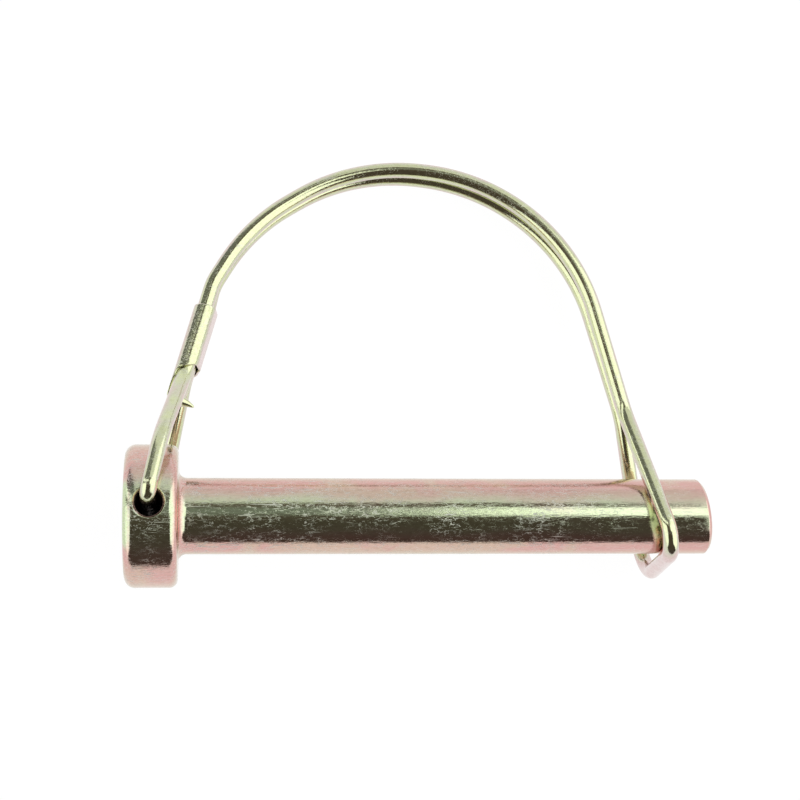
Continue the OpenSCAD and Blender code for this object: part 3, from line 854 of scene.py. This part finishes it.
# %% The table's board
BOARD, BOARD_ROUGH, GLOW, GLOW_SHARE = 0.88, 0.9, 1.05, 0.92
paper = bpy.data.materials.new("white_table")
paper.use_nodes = True
w = Wiring(paper.node_tree)
board = paper.node_tree.nodes["Principled BSDF"]
board.inputs["Base Color"].default_value = (BOARD, BOARD, BOARD, 1)
board.inputs["Roughness"].default_value = BOARD_ROUGH
glow = w.add("Emission", (1, 1, 1, 1), GLOW)
path = w.add("LightPath").outputs
seen = w.math("MAXIMUM", w.math("MAXIMUM", path["Is Camera Ray"], path["Is Glossy Ray"]),
              path["Is Transmission Ray"])
blend = w.add("MixShader", w.math("MULTIPLY", seen, GLOW_SHARE), board.outputs[0], glow.outputs[0])
w.put(paper.node_tree.nodes["Material Output"].inputs["Surface"], blend.outputs[0])
floor.data.materials.append(paper)
print(floor.name, "wears", paper.name)

# %% [markdown]
# ## The studio
# Polished metal shows what stands round it, so the room is part of the finish. It has a
# dark, warm ceiling over the camera, pale walls behind, and soft boxes on both sides and in
# front. Area lights could stand there, but all that a mirror needs of a far panel is its
# direction. So the panels are drawn into the world: each is a soft-edged rectangle in the X
# and Y of the direction, and the brightest one in a direction counts.

# %% Room
# For each panel: its range in X, its range in Y, the softness of its edges, and its level.
PANELS = {"left box": ((-1.2, -0.16), (0.31, 0.48), 0.08, 1.5),
          "left wall": ((-1.2, -0.60), (-0.72, 0.20), 0.10, 1.5),
          "right box": ((0.375, 1.2), (-0.67, 0.65), 0.07, 1.6),
          "front box": ((0.13, 0.40), (-0.02, 0.42), 0.10, 1.7),
          "dim ceiling": ((-0.16, 0.20), (0.02, 0.42), 0.10, 0.24),
          "back wall": ((-0.08, 1.2), (0.60, 1.2), 0.05, 0.85),
          "side wall": ((0.24, 1.2), (0.36, 1.2), 0.10, 0.9),
          "far corner": ((-1.2, 0.1), (0.84, 1.2), 0.10, 0.85),
          "dim wall": ((-1.2, -0.08), (0.40, 1.2), 0.10, 0.2)}
BLACK, WARM, WHITE = (0, 0, 0, 1), (1.0, 0.76, 0.68, 1), (1, 1, 1, 1)
room = bpy.data.worlds.new("studio")
bpy.context.scene.world = room
room.use_nodes = True
w = Wiring(room.node_tree)
look = w.xyz(w.add("TexCoord").outputs["Generated"])


def panel(x_range, y_range, soft, level):
    """Level in a rectangle of directions, falling smoothly to 0 over soft at each edge."""
    value = level
    for axis, (low, high) in (("X", x_range), ("Y", y_range)):
        fade_in = w.ramp(look[axis], low - soft / 2, low + soft / 2)
        fade_out = w.ramp(look[axis], high - soft / 2, high + soft / 2, 1.0, 0.0)
        value = w.math("MULTIPLY", w.math("MULTIPLY", fade_in, fade_out), value)
    return value


lit = 0.0
for values in PANELS.values():
    lit = w.math("MAXIMUM", lit, panel(*values))
dark = w.mix(w.ramp(look["Y"], -0.4, 0.4, 0.08, 0.16), BLACK, WARM)
room_light = w.mix(1.0, dark, w.add("CombineXYZ", lit, lit, lit).outputs[0], blend="LIGHTEN")
background = room.node_tree.nodes["Background"].inputs
w.put(background["Color"], w.mix(w.add("LightPath").outputs["Is Camera Ray"], room_light, WHITE))
bpy.context.scene.view_settings.view_transform = "Standard"
print("room:", ", ".join(PANELS))
